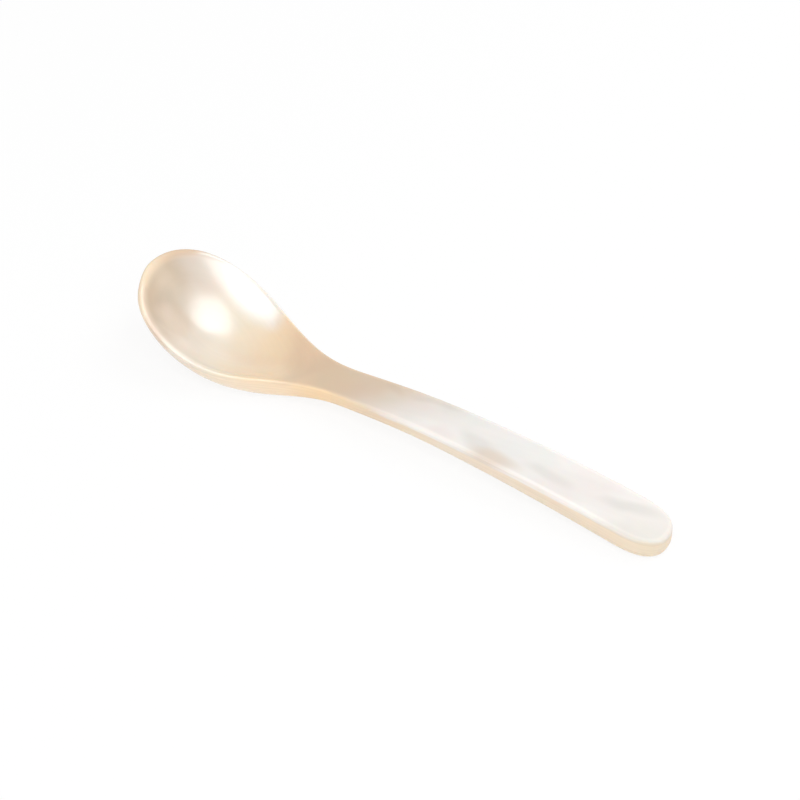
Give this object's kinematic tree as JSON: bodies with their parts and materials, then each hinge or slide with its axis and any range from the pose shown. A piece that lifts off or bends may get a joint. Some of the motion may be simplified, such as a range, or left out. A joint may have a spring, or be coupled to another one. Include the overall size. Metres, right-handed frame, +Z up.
{
  "type": "salt spoon",
  "caption": "Small salt spoon carved in one piece from polished mother-of-pearl, with an upswept egg-shaped bowl, a narrow neck and a gently arched flat handle with a rounded end.",
  "frame": {"origin": "on the table, under the middle of the spoon's length and width", "axes": "+X from the bowl along the handle to its end, +Y to the left of that, +Z up from the table"},
  "size_m": [0.09, 0.0206, 0.0119],
  "materials": {
    "nacre": "polished"
  },
  "bodies": {
    "root": {"spoon": "nacre"}
  },
  "joints": []
}
